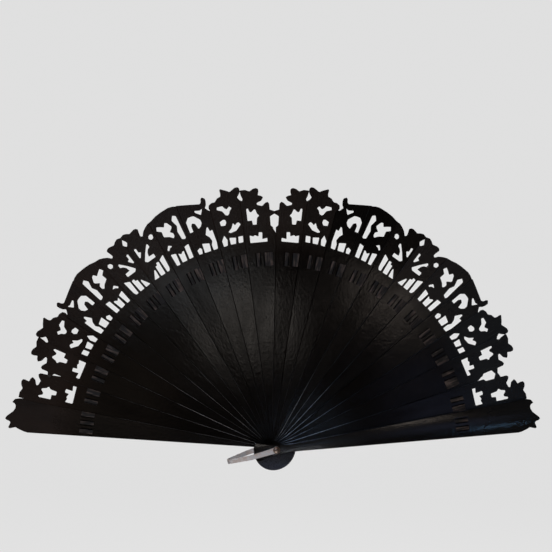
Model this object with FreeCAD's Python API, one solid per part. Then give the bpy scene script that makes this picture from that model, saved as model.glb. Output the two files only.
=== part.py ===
import FreeCAD, Part
import math
import os

# A folding hand fan, fully open: two guards and twenty-two fretwork sticks on one rivet.
# Millimetres and degrees. The fan stands in the XZ plane, +Z up, the front guard faces -Y,
# and the rivet's axis is the Y axis. A blade is drawn standing on +Z, then turned to its angle.

# --- stack of blades along the rivet ---
STICK_COUNT = 22
STICK_THICKNESS = 0.7
STICK_GAP = 0.22
GUARD_THICKNESS = 2.6
LAYER_PITCH = STICK_THICKNESS + STICK_GAP
STACK_HALF = LAYER_PITCH * STICK_COUNT / 2 + STICK_GAP / 2
GUARD_FACE = STACK_HALF + GUARD_THICKNESS

# --- outline shared by every blade ---
FLANK_BASE = 2.44
FLANK_TAPER = 0.0542
HIDDEN_EXTRA = 2.1
HIDDEN_TOP = 162.0
HIDDEN_TOP_BY_WIDE_STEP = 175.0
HIDDEN_EASE = 3.5
NECK_Z = 14.0
WAIST_Z = -2.0
WAIST_HALF = 4.0
TAIL_RADIUS = 18.3
TAIL_HALF_ANGLE = 26.0
TAIL_STEPS = 6
NECK_REACH = 7.0
TAIL_CORNER_REACH = 1.2
FRET_REACH = 0.55
STRAIGHT_ENOUGH = 0.02
WINDOW_INSET = 0.15
INSET_EASE = 0.25

# --- rivet, washers and hanging loop ---
PIN_RADIUS = 1.5
PIN_HOLE_RADIUS = 1.55
PIN_HEAD_RADIUS = 2.5
PIN_HEAD_HEIGHT = 0.9
WASHER_RADIUS = 2.9
WASHER_THICKNESS = 0.4
LOOP_PLAY = 0.2
LOOP_THICKNESS = 0.8
LOOP_EYE_RADIUS = 3.0
LOOP_EYE_STEPS = 8
LOOP_ROOT_HALF = 2.2
LOOP_END_HALF = 1.6
LOOP_STRADDLE = 21.0
LOOP_NOSE_HALF = 3.4
LOOP_REACH = 40.0
LOOP_BEND = 3.0
LOOP_ANGLE = 196.4
LOOP_INNER = GUARD_FACE + LOOP_PLAY
LOOP_OUTER = LOOP_INNER + LOOP_THICKNESS
WASHER_SEAT = LOOP_OUTER + LOOP_PLAY
HEAD_SEAT = WASHER_SEAT + WASHER_THICKNESS

# --- ribbon and its four slits ---
SLIT_RADIUS = 153.9
SLIT_PITCH = 3.3
SLIT_WIDTH = 1.2
SLIT_LENGTH = 10.4
SLIT_SHIFT = 1.6
RIBBON_WIDTH = 10.2
RIBBON_THICKNESS = 0.08
RIBBON_LIFT = 0.055
RIBBON_REACH = 10.3
GUARD_RIBBON_REACH = 8.5
RIBBON_LEAN = 0.42
REBATE_DEPTH = 0.4
REBATE_MARGIN = 0.6

# --- guard crown and edges ---
CROWN_RADIUS = 75.0
GUARD_EDGE = 0.5
GUARD_BLANK_TOP = 224.0
GUARD_CLEAR = 20.0

# --- spread of the open fan: blade axes from +X, rear guard first ---
REAR_GUARD_ANGLE = 172.95
BLADE_STEP = 7.055
WIDER_STEPS = {1: 0.3, 12: 1.44, 22: 1.44}

# --- fretwork: (across, along) points, left flank to right flank, then the windows ---
FRET = {
    "a": {
        "edge": [
            (-12.2, 179.4), (-10.4, 181), (-10.4, 188.3), (-12.6, 189.5), (-14.6, 190.4),
            (-14.6, 192.2), (-12.6, 193.1), (-10.6, 193.8), (-10.5, 198.8),
            (-9.3, 200.3), (-7.3, 199.6), (-4.5, 197.2),
            (-0.6, 198.4), (-0.3, 199.8), (-4.2, 201.5), (-6, 204.2), (-4.3, 205.5),
            (-1.7, 206.2), (-2.5, 209), (-2.4, 211.2), (-0.6, 212.1), (2, 211.6),
            (4.8, 209.7), (8.5, 211.2), (12.6, 211), (12.6, 209.2), (11.8, 206),
            (10.8, 204), (11.3, 202.6), (13.3, 201.5),
        ],
        "windows": [
            [(-1.8, 189.6), (-0.1, 191.4), (1, 194.8), (2.2, 195.1), (4.6, 192.9), (5.8, 193.1),
             (7.2, 196.4), (8.6, 195.5), (8.2, 185.7), (4.6, 185.9), (4.1, 182.4), (0.8, 182.4),
             (0.1, 187.8)],
            [(-7, 168), (-7, 171.2), (-2.9, 170.5), (-3.3, 176), (-0.2, 176.3), (0.3, 172.9),
             (3.2, 174.2), (4.4, 173.2), (7.4, 174.2), (7.3, 167.8)],
        ],
    },
    "b": {
        "edge": [
            (-13.3, 202.3), (-11.6, 203.6), (-10.2, 206), (-11.8, 207.6), (-13.4, 210),
            (-13.3, 212.8), (-12.2, 214), (-9.8, 214), (-5, 211.4), (-2.5, 213), (2.2, 215.2),
            (2.8, 214), (2.5, 211.5), (3, 209.2), (6, 208.2), (8.3, 205.6), (11, 205.5),
            (13.6, 204), (14.2, 201.5), (13.3, 199.5),
        ],
        "windows": [
            [(-4.4, 198.2), (-2.5, 200.2), (0, 198.2), (1.4, 199.2), (2.8, 201.4), (7.6, 201.2),
             (8.1, 199), (3.8, 197), (1.9, 193.6), (0.3, 192.9), (-1.4, 193.8), (-2.4, 196.4)],
            [(2.2, 187.4), (2.6, 190), (4.6, 190.5), (7.7, 189), (7.2, 185.5), (3.6, 185.2)],
            [(-9, 184), (-7.6, 186.1), (-5.8, 185.8), (-4.2, 184.2), (-2.8, 186.4), (-0.8, 182.4),
             (2.4, 179.6), (0.5, 178.5), (-4.6, 179.6)],
            [(-8.9, 174.6), (-4.8, 174.6), (-4.2, 169.2), (-8.3, 169.2)],
            [(-3.1, 174.2), (2.5, 175.1), (2.3, 169.2), (-2.2, 169.2)],
            [(4, 173.6), (6.1, 177.8), (8.8, 173.4), (8.1, 168.5), (4.7, 169)],
        ],
    },
    "c": {
        "edge": [
            (-13.2, 199.2), (-10.5, 200), (-8, 203), (-9.6, 205), (-10.4, 208), (-10.4, 210.4),
            (-8.2, 212.1), (-6.9, 211), (-6.3, 208.6), (-5, 207.4), (6, 210.3), (13.9, 212.2),
        ],
        "windows": [
            [(-5.8, 203.4), (-3.4, 202.6), (1, 203.7), (1, 202), (-3.3, 198.6)],
            [(-1.9, 192.6), (-1.6, 195.4), (2.6, 199.8), (4.6, 200.1), (7.8, 199.9), (10.3, 196.6),
             (9.8, 187.4), (6.7, 187.6), (7, 192.4), (5.8, 194.4), (3.7, 193.4), (2.2, 188.5),
             (-0.4, 190)],
            [(-8.3, 184.8), (-6, 184.2), (-5.4, 188), (-4, 187.6), (-1.6, 182.2), (-4, 179.6),
             (-5.2, 176.2), (-3.8, 173), (-4, 168.4), (-7.8, 168.6), (-8.6, 174)],
            [(-2.6, 175), (3.4, 176.5), (3.5, 168.5), (-2, 168.5)],
            [(4.6, 172.4), (6, 174), (8.8, 172.4), (8.2, 168.5), (5.2, 168.5)],
        ],
    },
    "d": {
        "edge": [
            (-13.9, 211.2), (-9.5, 213), (-6, 213.6), (1, 212.8), (6.5, 211.6), (10.5, 209.9),
            (13.8, 209),
        ],
        "windows": [
            [(-9, 205), (-6.3, 206.5), (-4.1, 202.8), (-6.2, 197.2), (-4.6, 193), (-5.4, 185.8),
             (-8, 184.8), (-9, 186)],
            [(-2.3, 198.8), (0, 203), (2, 203.8), (3.6, 200.8), (5.7, 202), (9.2, 203.5),
             (10.5, 200.2), (7, 198), (7.2, 193.5), (2.8, 191.6), (0.2, 189.2), (-1.2, 190.8),
             (-1.2, 193.4), (0.9, 195.2), (-1.6, 197.4)],
            [(4, 184.1), (7, 186.1), (9.3, 182.6), (8, 181.3), (6.6, 183.2)],
            [(-8.5, 180.4), (-4.4, 179.6), (-3.9, 168.6), (-7.7, 168.6)],
            [(-2.7, 177), (-1.3, 176.8), (0.3, 175.2), (2.5, 176.8), (2.3, 168.4), (-2.1, 168.4)],
            [(4, 177.4), (8.5, 178.4), (7.5, 167.8), (4.4, 167.8)],
        ],
    },
    "e": {
        "edge": [
            (-13.8, 209), (-11.5, 209.2), (-8, 207.6), (-5, 205.6), (-2.6, 202.7), (-1.2, 203.8),
            (-1.6, 206.5), (-2.5, 209.6), (-1.2, 211), (0.8, 211.3), (5.2, 210.1), (7.5, 211.6),
            (10, 212.4), (13.4, 211.2), (13.3, 209.7), (11.2, 206.5), (10.6, 205.1), (12.1, 202.8),
            (13.4, 202.2),
        ],
        "windows": [
            [(-10.1, 199.6), (-8.8, 201.1), (-6.6, 200.6), (-5.5, 198.4), (-7, 196.4), (-9.4, 197)],
            [(-2.8, 195.2), (-1.6, 195.9), (3.2, 190), (6.9, 184.5), (5, 182.7), (-2.7, 183.1),
             (-2.7, 186.4), (1.8, 186.4), (1, 189.6), (-0.6, 191.6), (-2.8, 192.6)],
            [(7.2, 197.4), (9.3, 197.6), (9, 189.2), (8, 188.7), (5.2, 192.8), (7.2, 193.8)],
            [(-8.3, 181.8), (-3.7, 179.4), (-4, 167.7), (-6.3, 167.7), (-7.4, 170)],
            [(-2.5, 178.8), (0, 179), (0.2, 176.8), (2, 176.8), (2, 167.6), (-2.2, 167.6)],
            [(3.3, 174), (4.2, 175.2), (8.2, 167.5), (3.5, 167.5)],
        ],
    },
}
SIDE_NOTCH = (180.0, 193.5)
OUTER_NOTCH = (202.0, 208.0)
OUTER_NOTCH_REACH = 10.0
GUARD_TIP = [
    (-13.6, 206), (-13.4, 210), (-12.5, 213.6), (-9.9, 215.4), (-8.9, 213.2), (-7.4, 212.3),
    (-5.3, 212.3), (-2.4, 213.8), (2.2, 218.6), (3.9, 219.4), (5, 218), (5.6, 215.6),
    (6.8, 214.7), (10.8, 216), (11.6, 214.8), (10, 210.2), (11.2, 207.8), (12.8, 203),
    (13.3, 200),
]

# sticks in order from the rear guard: "~" turns the pattern over,
# "*" leaves out the notch that a guard would cover and "**" the notch on the other side too
SEQUENCE = "a~** a b c d e e~ d~ c~ b~ a~ a b c d e e~ d~ c~ b~ a~ a*".split()


def flank_half(z):
    return FLANK_BASE + FLANK_TAPER * z


def blade_angle(index):
    extra = sum(wider for blade, wider in WIDER_STEPS.items() if index >= blade)
    return REAR_GUARD_ANGLE - BLADE_STEP * index - extra


def rounded_wire(points, reaches):
    """Closed wire in the XZ plane through straight runs, each corner eased by a tangent arc."""
    corners = [FreeCAD.Vector(x, 0, z) for x, z in points]
    count = len(corners)
    bends = []
    for i, corner in enumerate(corners):
        back = corners[i - 1] - corner
        ahead = corners[(i + 1) % count] - corner
        trim = min(reaches[i], 0.45 * back.Length, 0.45 * ahead.Length)
        back.normalize()
        ahead.normalize()
        half = back.getAngle(ahead) / 2
        if trim == 0 or math.cos(half) < STRAIGHT_ENOUGH:
            bends.append((corner, None, corner))
            continue
        inward = back + ahead
        inward.normalize()
        sag = trim * math.cos(half) / (1 + math.sin(half))
        bends.append((corner + back * trim, corner + inward * sag, corner + ahead * trim))
    edges = []
    for i, (start, middle, end) in enumerate(bends):
        if middle:
            edges.append(Part.Arc(start, middle, end).toShape())
        edges.append(Part.LineSegment(end, bends[(i + 1) % count][0]).toShape())
    return Part.Wire(edges)


def turned_over(points):
    return [(-x, z) for x, z in reversed(points)]


def hidden_flank(pattern):
    """Right flank, under the next stick: broader below the fretwork, so a wide step leaves no gap."""
    top = HIDDEN_TOP_BY_WIDE_STEP if pattern == "a~" else HIDDEN_TOP
    ease = top + HIDDEN_EASE
    return [(flank_half(ease), ease), (flank_half(top) + HIDDEN_EXTRA, top)]


def without_side_notch(edge):
    return [(x, z) for x, z in edge if x > 0 or not SIDE_NOTCH[0] < z < SIDE_NOTCH[1]]


def without_outer_notch(edge):
    return [(x, z) for x, z in edge if x < OUTER_NOTCH_REACH or not OUTER_NOTCH[0] < z < OUTER_NOTCH[1]]


def blade_wire(edge):
    """Whole outline of a blade: flared tail, waist, straight flanks, then the given top edge."""
    points, reaches = [], []
    for step in range(TAIL_STEPS + 1):
        turn = math.radians(TAIL_HALF_ANGLE * (1 - 2 * step / TAIL_STEPS))
        points.append((TAIL_RADIUS * math.sin(turn), -TAIL_RADIUS * math.cos(turn)))
        reaches.append(TAIL_CORNER_REACH if step in (0, TAIL_STEPS) else NECK_REACH)
    points += [(-WAIST_HALF, WAIST_Z), (-flank_half(NECK_Z), NECK_Z)]
    reaches += [NECK_REACH, NECK_REACH]
    points += edge
    reaches += [FRET_REACH] * len(edge)
    points += [(flank_half(NECK_Z), NECK_Z), (WAIST_HALF, WAIST_Z)]
    reaches += [NECK_REACH, NECK_REACH]
    return rounded_wire(points, reaches)


def window_wire(points):
    """Window, listed clockwise, closed in all round by the lacquer; sharp corners move a little less."""
    moved = []
    for i, (x, z) in enumerate(points):
        first = normal_of(points[i - 1], (x, z))
        second = normal_of((x, z), points[(i + 1) % len(points)])
        meeting = first[0] * second[0] + first[1] * second[1]
        step = WINDOW_INSET * (1 + INSET_EASE / 2) / (1 + INSET_EASE + meeting)
        moved.append((x - step * (first[0] + second[0]), z - step * (first[1] + second[1])))
    return rounded_wire(moved, [FRET_REACH] * len(moved))


def slit_wire(centre):
    half = SLIT_WIDTH / 2
    low = SLIT_RADIUS - SLIT_LENGTH / 2
    high = SLIT_RADIUS + SLIT_LENGTH / 2
    corners = [(centre - half, low), (centre - half, high), (centre + half, high), (centre + half, low)]
    return rounded_wire(corners, [0.3] * 4)


def slit_centres(shift):
    return [shift + SLIT_PITCH * (n - 1.5) for n in range(4)]


def ring_wire(radius):
    ring = Part.Circle(FreeCAD.Vector(0, 0, 0), FreeCAD.Vector(0, 1, 0), radius)
    return Part.Wire([ring.toShape()])


def plate(outer, inner, y_low, thickness):
    face = Part.Face(outer)
    cut = Part.makeCompound([Part.Face(w) for w in inner])
    face = face.cut(cut).Faces[0]
    solid = face.extrude(FreeCAD.Vector(0, thickness, 0))
    solid.translate(FreeCAD.Vector(0, y_low, 0))
    return solid


def turned(shape, angle):
    placed = shape.copy()
    placed.rotate(FreeCAD.Vector(0, 0, 0), FreeCAD.Vector(0, 1, 0), 90 - angle)
    return placed


def stick(pattern):
    name = pattern[0]
    flip = turned_over if "~" in pattern else list
    edge = FRET[name]["edge"]
    if "*" in pattern:
        edge = without_outer_notch(edge)
    if "**" in pattern:
        edge = without_side_notch(edge)
    outer = blade_wire(flip(edge) + hidden_flank(pattern))
    inner = [window_wire(flip(w)) for w in FRET[name]["windows"]]
    inner += [slit_wire(c) for c in slit_centres(SLIT_SHIFT)]
    inner.append(ring_wire(PIN_HOLE_RADIUS))
    return plate(outer, inner, -STICK_THICKNESS / 2, STICK_THICKNESS)


def guard_blank():
    """Guard before its slits: flat inner face on y = 0, outer face towards -Y."""
    top = GUARD_BLANK_TOP
    outline = blade_wire([(-flank_half(top), top), (flank_half(top), top)])
    return plate(outline, [], -GUARD_THICKNESS, GUARD_THICKNESS)


def crowned(blank):
    axis_y = CROWN_RADIUS - GUARD_THICKNESS
    base = FreeCAD.Vector(0, axis_y, -GUARD_CLEAR)
    height = GUARD_BLANK_TOP + 2 * GUARD_CLEAR
    crown = Part.makeCylinder(CROWN_RADIUS, height, base, FreeCAD.Vector(0, 0, 1))
    return blank.common(crown).Solids[0]


def outer_rim(solid):
    """Edges round the outer face, the flat top of the blank left out."""
    face = min(solid.Faces, key=lambda f: f.CenterOfMass.y)
    return [e for e in face.Edges if e.BoundBox.ZMin < GUARD_BLANK_TOP - 1]


def with_leaf_tip(solid):
    high = GUARD_BLANK_TOP + GUARD_CLEAR
    waste = GUARD_TIP + [(GUARD_CLEAR, GUARD_TIP[-1][1]), (GUARD_CLEAR, high)]
    waste += [(-GUARD_CLEAR, high), (-GUARD_CLEAR, GUARD_TIP[0][1])]
    reaches = [0] + [FRET_REACH] * (len(GUARD_TIP) - 2) + [0] * 5
    cutter = Part.Face(rounded_wire(waste, reaches)).extrude(FreeCAD.Vector(0, 3 * GUARD_THICKNESS, 0))
    cutter.translate(FreeCAD.Vector(0, -2 * GUARD_THICKNESS, 0))
    return solid.cut(cutter).Solids[0]


def with_slits(solid):
    """Four slits through the guard and the shallow rebate that sinks the ribbon in its outer face."""
    half = SLIT_PITCH * 1.5 + SLIT_WIDTH / 2 + REBATE_MARGIN
    length = SLIT_LENGTH + 2 * REBATE_MARGIN
    rebate_low = FreeCAD.Vector(-half, -2 * GUARD_THICKNESS, SLIT_RADIUS - length / 2)
    floor = GUARD_THICKNESS + REBATE_DEPTH
    cutters = [Part.makeBox(2 * half, floor, length, rebate_low)]
    for centre in slit_centres(0):
        face = Part.Face(slit_wire(centre))
        slot = face.extrude(FreeCAD.Vector(0, 3 * GUARD_THICKNESS, 0))
        slot.translate(FreeCAD.Vector(0, -2 * GUARD_THICKNESS, 0))
        cutters.append(slot)
    return solid.cut(Part.makeCompound(cutters)).Solids[0]


def bored(solid, radius):
    base = FreeCAD.Vector(0, -GUARD_CLEAR, 0)
    bore = Part.makeCylinder(radius, 2 * GUARD_CLEAR, base, FreeCAD.Vector(0, 1, 0))
    return solid.cut(bore).Solids[0]


def guard(bore_radius):
    body = crowned(guard_blank())
    body = body.makeFillet(GUARD_EDGE, outer_rim(body))
    body = bored(with_slits(with_leaf_tip(body)), bore_radius)
    body.translate(FreeCAD.Vector(0, -STACK_HALF, 0))
    return body


def front_guard():
    return guard(PIN_HOLE_RADIUS)


def rear_guard():
    """The same guard turned over to face +Y and pressed on the rivet."""
    body = guard(PIN_RADIUS)
    body.rotate(FreeCAD.Vector(0, 0, 0), FreeCAD.Vector(0, 0, 1), 180)
    return body


def pivot_pin():
    shank = Part.makeCylinder(
        PIN_RADIUS, 2 * HEAD_SEAT, FreeCAD.Vector(0, -HEAD_SEAT, 0), FreeCAD.Vector(0, 1, 0)
    )
    return shank.fuse([pin_head(-1), pin_head(1)]).removeSplitter().Solids[0]


def pin_head(side):
    """Low dome whose flat underside sits on the washer."""
    ball_radius = (PIN_HEAD_RADIUS**2 + PIN_HEAD_HEIGHT**2) / (2 * PIN_HEAD_HEIGHT)
    centre = FreeCAD.Vector(0, side * (HEAD_SEAT + PIN_HEAD_HEIGHT - ball_radius), 0)
    ball = Part.makeSphere(ball_radius, centre)
    base = FreeCAD.Vector(0, side * HEAD_SEAT, 0)
    disc = Part.makeCylinder(PIN_HEAD_RADIUS, PIN_HEAD_HEIGHT, base, FreeCAD.Vector(0, side, 0))
    return ball.common(disc).Solids[0]


def washer(side):
    base = FreeCAD.Vector(0, side * WASHER_SEAT, 0)
    disc = Part.makeCylinder(WASHER_RADIUS, WASHER_THICKNESS, base, FreeCAD.Vector(0, side, 0))
    return bored(disc, PIN_RADIUS)


def hanging_loop():
    """Strip bent into a U round the whole stack: legs part to straddle it, an eye at each end."""
    leg = (LOOP_INNER + LOOP_OUTER) / 2
    half = [(-leg, -LOOP_EYE_RADIUS), (-leg, LOOP_STRADDLE), (-LOOP_NOSE_HALF, LOOP_REACH)]
    path = half + [(-across, along) for across, along in reversed(half)]
    band = strip_profile(path, LOOP_THICKNESS)
    reaches = [0, LOOP_BEND, LOOP_BEND, LOOP_BEND, LOOP_BEND, 0] * 2
    strip = Part.Face(rounded_wire(band, reaches)).extrude(FreeCAD.Vector(0, 2 * LOOP_EYE_RADIUS, 0))
    strip.translate(FreeCAD.Vector(0, -LOOP_EYE_RADIUS, 0))
    strip.rotate(FreeCAD.Vector(0, 0, 0), FreeCAD.Vector(0, 0, 1), 90)
    outline = Part.Face(loop_outline()).extrude(FreeCAD.Vector(0, 2 * LOOP_OUTER, 0))
    outline.translate(FreeCAD.Vector(0, -LOOP_OUTER, 0))
    return bored(strip.common(outline).Solids[0], PIN_HOLE_RADIUS)


def loop_outline():
    points = []
    for step in range(LOOP_EYE_STEPS + 1):
        turn = math.radians(-40 + 260 * step / LOOP_EYE_STEPS)
        points.append((-LOOP_EYE_RADIUS * math.cos(turn), -LOOP_EYE_RADIUS * math.sin(turn)))
    top = LOOP_REACH + LOOP_THICKNESS
    points += [(LOOP_ROOT_HALF, 4.5), (LOOP_END_HALF, top), (-LOOP_END_HALF, top), (-LOOP_ROOT_HALF, 4.5)]
    return rounded_wire(points, [2.0] * (LOOP_EYE_STEPS + 2) + [0, 0, 2.0])


def strip_profile(path, thickness):
    """Constant-thickness band along an open path of (across, through) points."""
    half = thickness / 2
    left, right = [], []
    for i, (x, y) in enumerate(path):
        before = path[max(i - 1, 0)]
        after = path[min(i + 1, len(path) - 1)]
        here = (x, y)
        first = normal_of(before, here) if i > 0 else normal_of(here, after)
        second = normal_of(here, after) if i < len(path) - 1 else first
        scale = half / (1 + first[0] * second[0] + first[1] * second[1])
        shift = (scale * (first[0] + second[0]), scale * (first[1] + second[1]))
        left.append((x + shift[0], y + shift[1]))
        right.append((x - shift[0], y - shift[1]))
    return left + right[::-1]


def normal_of(start, end):
    run = (end[0] - start[0], end[1] - start[1])
    length = math.hypot(*run)
    return (-run[1] / length, run[0] / length)


def ribbon(centres, levels, start, end):
    """Band woven through the slits; levels holds its depth on each run between two slits."""
    path = [(start, levels[0])]
    for slit, (near, far) in zip(centres, zip(levels, levels[1:])):
        path.append((slit - RIBBON_LEAN, near))
        path.append((slit + RIBBON_LEAN, far))
    path.append((end, levels[-1]))
    corners = [FreeCAD.Vector(x, y, 0) for x, y in strip_profile(path, RIBBON_THICKNESS)]
    face = Part.Face(Part.makePolygon(corners + corners[:1]))
    band = face.extrude(FreeCAD.Vector(0, 0, RIBBON_WIDTH))
    band.translate(FreeCAD.Vector(0, 0, SLIT_RADIUS - RIBBON_WIDTH / 2))
    return band


def stick_ribbon():
    """Enters from behind, shows on the rib past slit one, dives at two, covers slit four."""
    front = -STICK_THICKNESS / 2 - RIBBON_LIFT
    back = -front
    centres = slit_centres(SLIT_SHIFT)[:3]
    return ribbon(centres, [back, front, back, front], -RIBBON_REACH, RIBBON_REACH)


def front_guard_ribbon():
    inner = -STACK_HALF + RIBBON_LIFT
    outer = -GUARD_FACE + REBATE_DEPTH - RIBBON_LIFT
    levels = [inner, outer, inner, outer, inner]
    return ribbon(slit_centres(0), levels, -RIBBON_REACH, GUARD_RIBBON_REACH)


def rear_guard_ribbon():
    inner = STACK_HALF - RIBBON_LIFT
    outer = GUARD_FACE - REBATE_DEPTH + RIBBON_LIFT
    levels = [inner, outer, inner, outer, inner]
    return ribbon(slit_centres(0), levels, -GUARD_RIBBON_REACH, RIBBON_REACH)


def layer_y(index):
    return LAYER_PITCH * ((STICK_COUNT + 1) / 2 - index)


def export(shape, name):
    shape.exportStep("parts/" + name + ".step")


os.makedirs("parts", exist_ok=True)
last = STICK_COUNT + 1
export(turned(rear_guard(), blade_angle(0)), "rear_guard")
export(turned(rear_guard_ribbon(), blade_angle(0)), "ribbon_01")
for number, pattern in enumerate(SEQUENCE, start=1):
    layer = FreeCAD.Vector(0, layer_y(number), 0)
    pieces = {"stick_%02d" % number: stick(pattern), "ribbon_%02d" % (number + 1): stick_ribbon()}
    for name, piece in pieces.items():
        piece.translate(layer)
        export(turned(piece, blade_angle(number)), name)
export(turned(front_guard(), blade_angle(last)), "front_guard")
export(turned(front_guard_ribbon(), blade_angle(last)), "ribbon_%02d" % (last + 1))
export(pivot_pin(), "pivot_pin")
export(washer(-1), "front_washer")
export(washer(1), "rear_washer")
export(turned(hanging_loop(), LOOP_ANGLE), "hanging_loop")
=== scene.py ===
import math

import bpy
from mathutils import Euler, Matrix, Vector


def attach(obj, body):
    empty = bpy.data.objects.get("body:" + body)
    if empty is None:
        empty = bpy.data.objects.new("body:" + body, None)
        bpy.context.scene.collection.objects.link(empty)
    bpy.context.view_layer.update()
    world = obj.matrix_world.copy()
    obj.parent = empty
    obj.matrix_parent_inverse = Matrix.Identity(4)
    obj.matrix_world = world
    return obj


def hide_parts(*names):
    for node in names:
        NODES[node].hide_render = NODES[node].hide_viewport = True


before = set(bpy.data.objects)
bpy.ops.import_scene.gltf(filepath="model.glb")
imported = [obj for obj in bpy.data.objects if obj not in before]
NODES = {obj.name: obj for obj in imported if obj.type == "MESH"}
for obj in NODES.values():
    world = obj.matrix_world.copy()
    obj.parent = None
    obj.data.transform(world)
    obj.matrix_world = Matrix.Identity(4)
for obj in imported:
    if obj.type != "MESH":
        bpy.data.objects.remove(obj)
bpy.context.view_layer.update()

SCENE = bpy.context.scene


# ---------------------------------------------------------------- node helpers
def new_material(name):
    """A material with an empty tree, its output node and a principled shader."""
    material = bpy.data.materials.new(name)
    material.use_nodes = True
    tree = material.node_tree
    tree.nodes.clear()
    out = tree.nodes.new("ShaderNodeOutputMaterial")
    shader = tree.nodes.new("ShaderNodeBsdfPrincipled")
    tree.links.new(shader.outputs["BSDF"], out.inputs["Surface"])
    return material, tree, shader


def node(tree, kind, settings=(), **inputs):
    """Adds a node, sets its properties, and links or fills its inputs by name."""
    made = tree.nodes.new(kind)
    for key, value in dict(settings).items():
        setattr(made, key, value)
    for key, value in inputs.items():
        socket = made.inputs[int(key[1:])] if key[0] == "_" else made.inputs[key.replace("_", " ")]
        if isinstance(value, bpy.types.NodeSocket):
            tree.links.new(value, socket)
        else:
            socket.default_value = value
    return made


def math_node(tree, operation, a, b=0.0, c=None):
    made = node(tree, "ShaderNodeMath", {"operation": operation}, _0=a, _1=b)
    if c is not None:
        made.inputs[2].default_value = c
    return made.outputs[0]


def noise(tree, vector, scale, detail=3.0, roughness=0.5, seed=0.0):
    made = node(tree, "ShaderNodeTexNoise", {"noise_dimensions": "4D"}, Vector=vector, W=seed,
                Scale=scale, Detail=detail, Roughness=roughness)
    return made.outputs["Fac"]


def remap(tree, value, low, high, to_low, to_high):
    made = node(tree, "ShaderNodeMapRange", {}, Value=value)
    for key, number in zip(("From Min", "From Max", "To Min", "To Max"), (low, high, to_low, to_high)):
        made.inputs[key].default_value = number
    return made.outputs["Result"]


def mix_color(tree, factor, first, second):
    made = node(tree, "ShaderNodeMix", {"data_type": "RGBA"})
    for index, value in ((0, factor), (6, first), (7, second)):
        if isinstance(value, bpy.types.NodeSocket):
            tree.links.new(value, made.inputs[index])
        else:
            made.inputs[index].default_value = value
    return made.outputs[2]


def marked(tree, name):
    """The number that mark_blade stores on the object under this name."""
    found = node(tree, "ShaderNodeAttribute", {"attribute_type": "OBJECT", "attribute_name": name})
    return found.outputs["Fac"]


def blade_space(tree):
    """Position in the blade's own frame, Z along it and X across it, and the blade's noise seed."""
    coords = tree.nodes.new("ShaderNodeTexCoord")
    spun = node(tree, "ShaderNodeVectorRotate", {"rotation_type": "Y_AXIS"},
                Vector=coords.outputs["Object"], Angle=marked(tree, "blade_turn"))
    return spun.outputs["Vector"], marked(tree, "blade_seed")


def stretched(tree, vector, scale):
    return node(tree, "ShaderNodeMapping", {}, Vector=vector, Scale=scale).outputs["Vector"]


# ---------------------------------------------------------------- materials
FRET_TINT = (0.0245, 0.0152, 0.0112, 1)
# bluish-grey fret colour that paints cool light on the right-hand blades
FRET_COOL_LIGHT = (0.0200, 0.0215, 0.0225, 1)
# colours of the painted highlight along the blades' left flanks, grey, and blue on the right-hand blades
EDGE_GLINT_TINT = (0.37, 0.36, 0.35, 1)
EDGE_GLINT_COOL = (0.42, 0.52, 0.66, 1)
# colour of the painted reflection on the heels below the rivet
HEEL_REFLECTION_TINT = (0.066, 0.070, 0.096, 1)
FRET_START, FRET_FULL = 0.150, 0.182
FLANK_SLOPE, FLANK_FOOT = 0.0542, 0.00244
HEEL_SLOPE, HEEL_FOOT = -0.05, 0.0039
PEEL_HEIGHT = 0.000070
SPARKLE_HEIGHT = 0.000006


def flank_distance(tree, along, side):
    """Distance from the blade's left flank, the edge that shows over the blade behind it."""
    flank = math_node(tree, "MULTIPLY_ADD", along, FLANK_SLOPE, FLANK_FOOT)
    heel = math_node(tree, "MULTIPLY_ADD", along, HEEL_SLOPE, HEEL_FOOT)
    return math_node(tree, "ADD", side, math_node(tree, "MAXIMUM", flank, heel))


def lacquer_shine(tree, along, flank, smears):
    """Specular level: smeared, dull on fretwork with a low fret tone, and lowered along the seam between
    blades as painted shade.
    """
    tone_shine = remap(tree, marked(tree, "fret_tone"), 0.0, 0.6, 0.3, 1.0)
    below_fret = remap(tree, along, FRET_START, FRET_FULL, 1.0, 0.0)
    dull_fret = math_node(tree, "MINIMUM", math_node(tree, "ADD", tone_shine, below_fret), 1.0)
    shine = math_node(tree, "MULTIPLY", remap(tree, smears, 0.32, 0.68, 0.62, 0.34), dull_fret)
    # painted shade: specular lowered in a thin line where a blade meets the one behind it
    painted_seam_shade = remap(tree, flank, 0.00035, 0.00080, 0.08, 1.0)
    heel_only = remap(tree, along, 0.0, 0.010, 1.0, 0.0)
    return math_node(tree, "MULTIPLY", shine, math_node(tree, "MAXIMUM", painted_seam_shade, heel_only))


def painted_edge_highlight(tree, along, flank, smears, sparkle):
    """Share of painted highlight: a speckled light line down the left flank, standing for lamps caught on
    its edge, that fades towards the slits.
    """
    glint_line = math_node(tree, "MULTIPLY", remap(tree, flank, 0.00008, 0.00034, 1.0, 0.0),
                       remap(tree, smears, 0.40, 0.62, 0.10, 1.0))
    glint_line = math_node(tree, "MULTIPLY", glint_line, remap(tree, sparkle, 0.36, 0.60, 0.25, 1.5))
    share = math_node(tree, "DIVIDE", along, marked(tree, "edge_glint_reach"))
    reach = math_node(tree, "MULTIPLY", remap(tree, share, 0.45, 1.0, 1.0, 0.10),
                      remap(tree, share, 0.055, 0.165, 0.0, 1.0))
    return math_node(tree, "MULTIPLY", math_node(tree, "MULTIPLY", glint_line, reach),
                     marked(tree, "edge_glint_strength"))


def painted_heel_reflection(tree, along, sparkle):
    """Share of painted blue-grey reflection on the round end below the rivet."""
    heel = math_node(tree, "MULTIPLY", remap(tree, along, -0.0020, -0.0050, 0.0, 1.0),
                     marked(tree, "heel_reflection_share"))
    return math_node(tree, "MULTIPLY", heel, remap(tree, sparkle, 0.34, 0.62, 0.15, 1.3))


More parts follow.
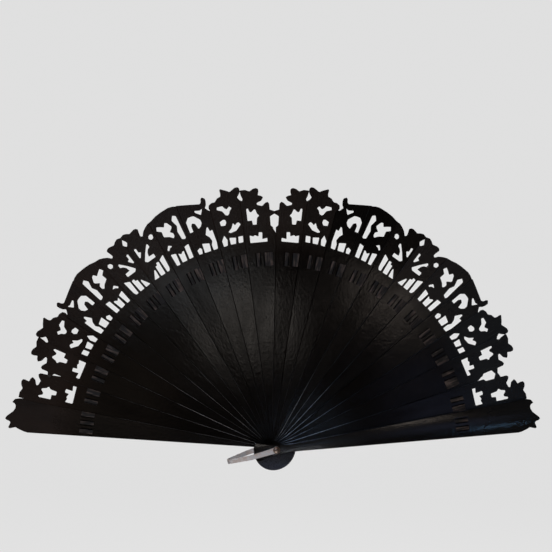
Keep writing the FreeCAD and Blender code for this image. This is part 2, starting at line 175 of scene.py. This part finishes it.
def lacquer(name, rough, coat, wave, dark, tint):
    """Black lacquer over fine-grained wood: grain ridges, orange peel, slow waves, a brown fret tone, a
    painted highlight down the left flank, a painted reflection on the heel and painted cool light on the
    right-hand blades.
    """
    material, tree, shader = new_material(name)
    place, seed = blade_space(tree)
    grain = noise(tree, stretched(tree, place, (1.0, 1.0, 0.035)), 1500.0, 3.0, 0.6, seed)
    peel = noise(tree, stretched(tree, place, (1.0, 1.0, 0.6)), 600.0, 3.0, 0.6, seed)
    waves = noise(tree, stretched(tree, place, (1.0, 1.0, 0.45)), 30.0, 1.0, 0.4, seed)
    smears = noise(tree, stretched(tree, place, (1.0, 1.0, 0.3)), 60.0, 4.0, 0.6, seed)
    sparkle = noise(tree, place, 1500.0, 2.0, 0.6, seed)
    parts = node(tree, "ShaderNodeSeparateXYZ", {}, Vector=place)
    along, side = parts.outputs["Z"], parts.outputs["X"]
    flank = flank_distance(tree, along, side)

    colour = mix_color(tree, remap(tree, grain, 0.3, 0.7, 0.0, 1.0), dark, tint)
    fret = math_node(tree, "MULTIPLY", remap(tree, along, FRET_START, FRET_FULL, 0.0, 1.0),
                     marked(tree, "fret_tone"))
    fret = math_node(tree, "MULTIPLY", fret, remap(tree, smears, 0.3, 0.7, 0.6, 1.3))
    # painted cool light: the right-hand blades' fret tone and edge highlight turn bluish grey
    cool_light = marked(tree, "cool_light_share")
    colour = mix_color(tree, fret, colour, mix_color(tree, cool_light, FRET_TINT, FRET_COOL_LIGHT))
    # painted reflection: a speckled blue-grey sheen on the heel below the rivet
    colour = mix_color(tree, painted_heel_reflection(tree, along, sparkle), colour, HEEL_REFLECTION_TINT)
    # painted highlight: a light line down each blade's left flank
    colour = mix_color(tree, painted_edge_highlight(tree, along, flank, smears, sparkle), colour,
                       mix_color(tree, cool_light, EDGE_GLINT_TINT, EDGE_GLINT_COOL))
    tree.links.new(colour, shader.inputs["Base Color"])
    tree.links.new(lacquer_shine(tree, along, flank, smears), shader.inputs["Specular IOR Level"])

    roughness = math_node(tree, "ADD", remap(tree, smears, 0.3, 0.7, rough - 0.02, rough + 0.06),
                          remap(tree, grain, 0.3, 0.7, -0.01, 0.02))
    matt_top = remap(tree, along, 0.160, 0.185, 0.0, 0.14)
    tree.links.new(math_node(tree, "ADD", roughness, matt_top), shader.inputs["Roughness"])

    lean = math_node(tree, "MULTIPLY", side, marked(tree, "blade_tilt"))
    height = math_node(tree, "ADD", math_node(tree, "MULTIPLY", waves, wave), lean)
    height = math_node(tree, "ADD", height, math_node(tree, "MULTIPLY", peel, PEEL_HEIGHT))
    height = math_node(tree, "ADD", height, math_node(tree, "MULTIPLY", sparkle, SPARKLE_HEIGHT))
    bump = node(tree, "ShaderNodeBump", {}, Strength=1.0, Distance=1.0, Height=height)
    tree.links.new(bump.outputs["Normal"], shader.inputs["Normal"])
    tree.links.new(bump.outputs["Normal"], shader.inputs["Coat Normal"])
    shader.inputs["IOR"].default_value = 1.5
    shader.inputs["Coat Weight"].default_value = coat
    shader.inputs["Coat Roughness"].default_value = 0.06
    return material


def metal(name, light, dark, rough, metallic):
    """Worn plate: dulled patches over fine brushing."""
    material, tree, shader = new_material(name)
    coords = tree.nodes.new("ShaderNodeTexCoord").outputs["Object"]
    patches = noise(tree, coords, 260.0, 4.0, 0.65)
    brushing = noise(tree, stretched(tree, coords, (0.08, 1.0, 1.0)), 2600.0, 2.0, 0.5)
    worn = remap(tree, patches, 0.42, 0.62, 0.0, 1.0)
    tree.links.new(mix_color(tree, worn, light, dark), shader.inputs["Base Color"])
    tree.links.new(math_node(tree, "ADD", remap(tree, patches, 0.3, 0.7, rough - 0.08, rough + 0.16),
                             remap(tree, brushing, 0.3, 0.7, -0.04, 0.06)), shader.inputs["Roughness"])
    shader.inputs["Metallic"].default_value = metallic
    bump = node(tree, "ShaderNodeBump", {}, Strength=0.6, Distance=0.00003, Height=brushing)
    tree.links.new(bump.outputs["Normal"], shader.inputs["Normal"])
    return material


def satin(name):
    """Black satin ribbon: fine warp and weft, crushed pleats across the run, a painted brown highlight on
    their crests, and painted shade where it dives through a slit.
    """
    material, tree, shader = new_material(name)
    place, seed = blade_space(tree)
    warp = node(tree, "ShaderNodeTexWave", {"bands_direction": "Z"}, Vector=place, Scale=520.0,
                Distortion=0.4, Detail=1.0)
    weft = node(tree, "ShaderNodeTexWave", {"bands_direction": "X"}, Vector=place, Scale=420.0,
                Distortion=0.6, Detail=1.0)
    slit_shade = node(tree, "ShaderNodeAttribute", {"attribute_name": "slit_shade"}).outputs["Fac"]
    pleats = noise(tree, stretched(tree, place, (1.0, 1.0, 0.16)), 560.0, 2.0, 0.55, seed)
    patches = noise(tree, place, 260.0, 3.0, 0.6, seed)
    weave = math_node(tree, "MULTIPLY", warp.outputs["Fac"], weft.outputs["Fac"])
    painted_crest_sheen = math_node(tree, "MULTIPLY", remap(tree, pleats, 0.46, 0.64, 0.0, 1.0),
                    remap(tree, patches, 0.35, 0.65, 0.35, 1.0))
    # painted highlight: brown sheen on the pleat crests
    colour = mix_color(tree, painted_crest_sheen, (0.010, 0.008, 0.007, 1), (0.150, 0.105, 0.084, 1))
    # painted shade: the band turns near black and loses its shine where it dives through a slit
    colour = mix_color(tree, remap(tree, slit_shade, 0.05, 0.6, 0.0, 1.0), colour, (0.0012, 0.0010, 0.0010, 1))
    tree.links.new(colour, shader.inputs["Base Color"])
    tree.links.new(remap(tree, slit_shade, 0.05, 0.6, 0.5, 0.05), shader.inputs["Specular IOR Level"])
    tree.links.new(remap(tree, patches, 0.3, 0.7, 0.34, 0.48), shader.inputs["Roughness"])
    folds = node(tree, "ShaderNodeBump", {}, Strength=1.0, Distance=1.0,
                 Height=math_node(tree, "MULTIPLY", pleats, 0.00030))
    bump = node(tree, "ShaderNodeBump", {}, Strength=0.5, Distance=0.00004, Height=weave,
                Normal=folds.outputs["Normal"])
    tree.links.new(bump.outputs["Normal"], shader.inputs["Normal"])
    shader.inputs["Sheen Weight"].default_value = 0.05
    shader.inputs["Sheen Roughness"].default_value = 0.4
    return material


# ---------------------------------------------------------------- blades
REAR_GUARD_ANGLE = 172.95
BLADE_STEP = 7.055
WIDER_STEPS = {1: 0.3, 12: 1.44, 22: 1.44}
LAST_BLADE = 23
SOFT_EDGE = 0.0002


def blade_name(index):
    return {0: "rear_guard", LAST_BLADE: "front_guard"}.get(index, "stick_%02d" % index)


def blade_angle(index):
    """Angle above +X at which the blade lies when the fan is open, in degrees."""
    extra = sum(wider for blade, wider in WIDER_STEPS.items() if index >= blade)
    return REAR_GUARD_ANGLE - BLADE_STEP * index - extra


# how brown each blade's fretwork turns and how much it shines, rear guard first
FRET_TONE_BY_BLADE = (0.95, 1.0, 1.0, 0.85, 0.7, 0.95, 0.95, 0.85, 0.65, 0.55, 0.7, 0.7,
              0.7, 0.45, 0.04, 0.02, 0.15, 0.8, 0.8, 0.6, 0.75, 0.85, 0.8, 0.25)


def mark_blade(obj, index):
    """What the blade's material reads: its angle and seed, its painted edge highlight, painted heel
    reflection and painted cool light, its fret tone, and its slight lean.
    """
    obj["blade_turn"] = -math.radians(90.0 - blade_angle(index))
    obj["blade_seed"] = 3.7 * index
    # strength and reach of the painted highlight down the left flank
    obj["edge_glint_strength"] = 0.08 + 0.92 * math.exp(-((index - 3.0) / 3.0) ** 2) + 0.75 * (index > 14)
    obj["edge_glint_reach"] = 0.072 if index > 14 else 0.145
    obj["fret_tone"] = FRET_TONE_BY_BLADE[index]
    # which blades get the painted heel reflection
    obj["heel_reflection_share"] = float(0 < index < LAST_BLADE)
    # share of painted cool light, rising across the right-hand blades
    obj["cool_light_share"] = min(max((index - 15) / 5, 0.0), 1.0)
    obj["blade_tilt"] = 0.0065 * math.sin(2.4 * index + 0.8)


def dress(obj, material, bevel=0.0):
    """Gives a CAD node its material and, with a bevel, softened edges."""
    obj.data.materials.clear()
    obj.data.materials.append(material)
    if bevel:
        merge = obj.modifiers.new("flatten", "DECIMATE")
        merge.decimate_type = "DISSOLVE"
        merge.angle_limit = math.radians(1.0)
        edge = obj.modifiers.new("edges", "BEVEL")
        edge.width = bevel
        edge.segments = 2
        edge.limit_method = "ANGLE"
        edge.angle_limit = math.radians(55)
        edge.use_clamp_overlap = False
        edge.harden_normals = False


stick_lacquer = lacquer("stick_lacquer", 0.085, 0.0, 0.00022,
                        (0.0016, 0.0013, 0.0012, 1), (0.0052, 0.0036, 0.0028, 1))
guard_lacquer = lacquer("guard_lacquer", 0.16, 1.0, 0.00012,
                        (0.0018, 0.0016, 0.0015, 1), (0.0060, 0.0045, 0.0040, 1))
loop_metal = metal("loop_metal", (0.97, 0.94, 0.92, 1), (0.86, 0.72, 0.64, 1), 0.30, 0.15)
rivet_metal = metal("rivet_metal", (0.46, 0.37, 0.31, 1), (0.17, 0.11, 0.08, 1), 0.34, 1.0)
ribbon_satin = satin("ribbon_satin")


# ---------------------------------------------------------------- ribbon
SLIT_RADIUS = 0.1539
SLIT_PITCH = 0.0033
SLIT_SHIFT = 0.0016
RIBBON_WIDTH = 0.0109
RIBBON_PINCH = 0.0005
RIBBON_LEAN = 0.00045
RIBBON_REACH = 0.0103
GUARD_RIBBON_REACH = 0.0085
RIBBON_OFF = 0.000055
STICK_HALF = 0.00035
LAYER_PITCH = 0.00092
STACK_HALF = 0.01023
GUARD_FLOOR = 0.01243
PUCKER = 0.00003
COLUMNS, ROWS = 120, 10


def ribbon_run(index):
    """Slit centres, depth of the band on each run between them, and where the band starts and ends."""
    if index in (0, LAST_BLADE):
        side = 1 if index == 0 else -1
        centres = [SLIT_PITCH * (n - 1.5) for n in range(4)]
        inner = side * (STACK_HALF - RIBBON_OFF)
        outer = side * (GUARD_FLOOR + RIBBON_OFF)
        reach = (-GUARD_RIBBON_REACH, RIBBON_REACH) if index == 0 else (-RIBBON_REACH, GUARD_RIBBON_REACH)
        return centres, [inner, outer, inner, outer, inner], reach
    middle = LAYER_PITCH * (LAST_BLADE / 2 - index)
    back = middle + STICK_HALF + RIBBON_OFF
    front = middle - STICK_HALF - RIBBON_OFF
    centres = [SLIT_SHIFT + SLIT_PITCH * (n - 1.5) for n in range(3)]
    return centres, [back, front, back, front], (-RIBBON_REACH, RIBBON_REACH)


def ribbon_depth(x, centres, levels):
    depth = levels[0]
    for centre, near, far in zip(centres, levels, levels[1:]):
        t = min(max((x - centre) / (2 * RIBBON_LEAN) + 0.5, 0.0), 1.0)
        depth += (far - near) * t * t * (3 - 2 * t)
    return depth


def squeeze(x, centres):
    """1 in the middle of a slit, 0 on the runs between them."""
    return max(max(0.0, 1 - abs(x - centre) / (1.4 * RIBBON_LEAN)) for centre in centres)


def ribbon_width(x, centres):
    """The band narrows where it squeezes through a slit."""
    return RIBBON_WIDTH - RIBBON_PINCH * squeeze(x, centres)


def weave_ribbon(index):
    """This blade's share of the satin ribbon: it dives through the slits and puckers between them."""
    centres, levels, (start, end) = ribbon_run(index)
    turn = math.radians(blade_angle(index))
    stations = [start + (end - start) * column / COLUMNS for column in range(COLUMNS + 1)]
    verts, faces, slit_shades = [], [], []
    for x in stations:
        # 1 in a slit and 0 between, read by the ribbon material to paint shade there
        slit_shades += [squeeze(x, centres)] * (ROWS + 1)
        depth = ribbon_depth(x, centres, levels)
        for row in range(ROWS + 1):
            across = row / ROWS - 0.5
            pucker = PUCKER * math.sin(1900 * x + 5.1 * across + 2.3 * index) * math.cos(9.0 * across)
            z = SLIT_RADIUS + ribbon_width(x, centres) * across
            verts.append((z * math.cos(turn) + x * math.sin(turn), depth + pucker,
                          z * math.sin(turn) - x * math.cos(turn)))
    for column in range(COLUMNS):
        for row in range(ROWS):
            a = column * (ROWS + 1) + row
            faces.append((a, a + ROWS + 1, a + ROWS + 2, a + 1))
    name = "satin_band_%02d" % (index + 1)
    mesh = bpy.data.meshes.new(name)
    mesh.from_pydata(verts, [], faces)
    mesh.polygons.foreach_set("use_smooth", [True] * len(faces))
    mesh.materials.append(ribbon_satin)
    # the attribute that carries the painted slit shade
    slit_shade = mesh.attributes.new("slit_shade", "FLOAT", "POINT")
    slit_shade.data.foreach_set("value", slit_shades)
    band = bpy.data.objects.new(name, mesh)
    SCENE.collection.objects.link(band)
    mark_blade(band, index)
    blade = blade_name(index)
    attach(band, blade + "_body")
    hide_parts("ribbon_%02d" % (index + 1))
    path = [(x, ribbon_depth(x, centres, levels)) for x in stations]


for index in range(LAST_BLADE + 1):
    blade = NODES[blade_name(index)]
    mark_blade(blade, index)
    dress(blade, guard_lacquer if index in (0, LAST_BLADE) else stick_lacquer, SOFT_EDGE)
    weave_ribbon(index)

dress(NODES["hanging_loop"], loop_metal, SOFT_EDGE)
dress(NODES["pivot_pin"], rivet_metal)
dress(NODES["front_washer"], rivet_metal)
dress(NODES["rear_washer"], rivet_metal)


# ---------------------------------------------------------------- stage, lights, camera
CAMERA_PLACE = (-0.1019, -1.0, 0.1699)
CAMERA_ANGLES = (5.775, -1.70, 0.653)    # yaw, pitch and roll in degrees
CAMERA_LENS = 80.6
PAPER_GLOW = 0.74
MIDDLE = (0, 0, 0.08)
PIVOT = (0, 0, 0.02)
FRONT_LAMPS = -1.6                       # Y of the lamps that the lacquer mirrors
WARM, PLAIN, COOL = (1.0, 0.86, 0.76), (1.0, 0.97, 0.94), (0.62, 0.76, 1.0)


def stage_bowl():
    """Pale floor that sweeps up into a round backdrop, seen by the camera alone."""
    ring, sweep_steps = 96, 12
    floor_z, floor_radius, sweep, top_z = -0.5, 2.6, 1.0, 4.5
    profile = []
    for step in range(sweep_steps + 1):
        turn = math.pi / 2 * step / sweep_steps
        profile.append((floor_radius + sweep * math.sin(turn), floor_z + sweep * (1 - math.cos(turn))))
    profile.append((floor_radius + sweep, top_z))
    verts = [(0, 0, floor_z)]
    faces = []
    for radius, z in profile:
        for step in range(ring):
            turn = 2 * math.pi * step / ring
            verts.append((radius * math.cos(turn), radius * math.sin(turn), z))
    for step in range(ring):
        faces.append((0, 1 + step, 1 + (step + 1) % ring))
    for row in range(len(profile) - 1):
        for step in range(ring):
            a = 1 + row * ring + step
            b = 1 + row * ring + (step + 1) % ring
            faces.append((a, a + ring, b + ring, b))
    mesh = bpy.data.meshes.new("studio")
    mesh.from_pydata(verts, [], faces)
    mesh.update()
    bowl = bpy.data.objects.new("studio", mesh)
    SCENE.collection.objects.link(bowl)
    material, _, shader = new_material("studio_paper")
    shader.inputs["Base Color"].default_value = (0.06, 0.06, 0.06, 1)
    shader.inputs["Roughness"].default_value = 1.0
    shader.inputs["Emission Color"].default_value = (1, 1, 1, 1)
    shader.inputs["Emission Strength"].default_value = PAPER_GLOW
    mesh.materials.append(material)
    bowl.visible_diffuse = False
    bowl.visible_glossy = False
    bowl.visible_shadow = False


def area_light(name, place, target, size, power, colour=(1, 1, 1)):
    """A rectangular lamp that faces its target and stays out of the picture."""
    light = bpy.data.lights.new(name, "AREA")
    light.shape = "RECTANGLE"
    light.size, light.size_y = size
    light.energy = power
    light.color = colour
    obj = bpy.data.objects.new(name, light)
    obj.visible_camera = False
    obj.location = place
    obj.rotation_euler = (Vector(target) - Vector(place)).to_track_quat("-Z", "Y").to_euler()
    SCENE.collection.objects.link(obj)


def add_camera():
    """Looks at the fan from its left and a little from above, with a slight roll."""
    camera = bpy.data.cameras.new("camera")
    camera.lens = CAMERA_LENS
    camera.sensor_width = 36.0
    camera.clip_start = 0.05
    camera.clip_end = 30.0
    obj = bpy.data.objects.new("camera", camera)
    obj.location = CAMERA_PLACE
    yaw, pitch, roll = (math.radians(angle) for angle in CAMERA_ANGLES)
    spin = Euler((0, 0, -yaw)).to_matrix() @ Euler((math.pi / 2 + pitch, 0, 0)).to_matrix()
    obj.rotation_euler = (spin @ Euler((0, 0, roll)).to_matrix()).to_euler()
    SCENE.collection.objects.link(obj)
    SCENE.camera = obj


stage_bowl()
add_camera()
world = bpy.data.worlds.new("world")
world.use_nodes = True
world.node_tree.nodes["Background"].inputs["Color"].default_value = (1.0, 0.82, 0.74, 1)
world.node_tree.nodes["Background"].inputs["Strength"].default_value = 0.012
SCENE.world = world
SCENE.view_settings.view_transform = "Standard"

area_light("soft_centre", (0.102, FRONT_LAMPS, 0.0), MIDDLE, (0.13, 0.14), 0.062, (1.0, 0.92, 0.84))
area_light("soft_upper", (-0.05, FRONT_LAMPS, 0.084), MIDDLE, (0.24, 0.075), 0.049, (0.93, 0.97, 1.0))
area_light("soft_right", (0.408, FRONT_LAMPS, 0.060), MIDDLE, (0.10, 0.12), 0.053, WARM)
area_light("cool_right", (0.54, FRONT_LAMPS, -0.22), MIDDLE, (0.24, 0.22), 0.032, (0.50, 0.60, 1.0))
area_light("pivot_glint", (0.245, FRONT_LAMPS, -0.235), MIDDLE, (0.07, 0.02), 0.012, (0.50, 0.70, 1.0))
area_light("warm_left", (-0.17, FRONT_LAMPS, -0.15), MIDDLE, (0.22, 0.18), 0.013, (1.0, 0.80, 0.62))
area_light("warm_top", (-0.05, FRONT_LAMPS, 0.30), MIDDLE, (0.5, 0.12), 0.034, (1.0, 0.80, 0.66))
area_light("tail", (0.171, FRONT_LAMPS, -0.304), MIDDLE, (0.06, 0.035), 0.007, (0.94, 0.96, 1.0))
area_light("neck_line", (0.23, FRONT_LAMPS, -0.41), MIDDLE, (0.03, 0.02), 0.034, (0.85, 0.9, 1.0))
area_light("guard_blue", (0.68, FRONT_LAMPS, -0.46), MIDDLE, (0.06, 0.03), 0.050, (0.30, 0.60, 1.0))
area_light("key", (-0.5, -1.3, 1.5), MIDDLE, (0.5, 0.5), 4.0, WARM)
area_light("edge_low", (-0.22, -0.90, -1.02), PIVOT, (1.0, 0.35), 4.0, PLAIN)
area_light("edge_high", (-0.40, -0.90, 0.62), PIVOT, (0.30, 0.30), 3.0, COOL)
area_light("loop_left", (-1.17, -0.93, -0.67), (0, 0, 0), (0.5, 0.5), 0.6, WARM)
area_light("loop_right", (1.34, -0.86, 0.08), (0, 0, 0), (0.3, 0.3), 0.25, WARM)
area_light("back", (0.3, 1.6, 0.8), MIDDLE, (1.0, 1.0), 9.0, PLAIN)
area_light("soft_back", (0.0, 1.6, -0.12), MIDDLE, (0.30, 0.22), 0.09, WARM)
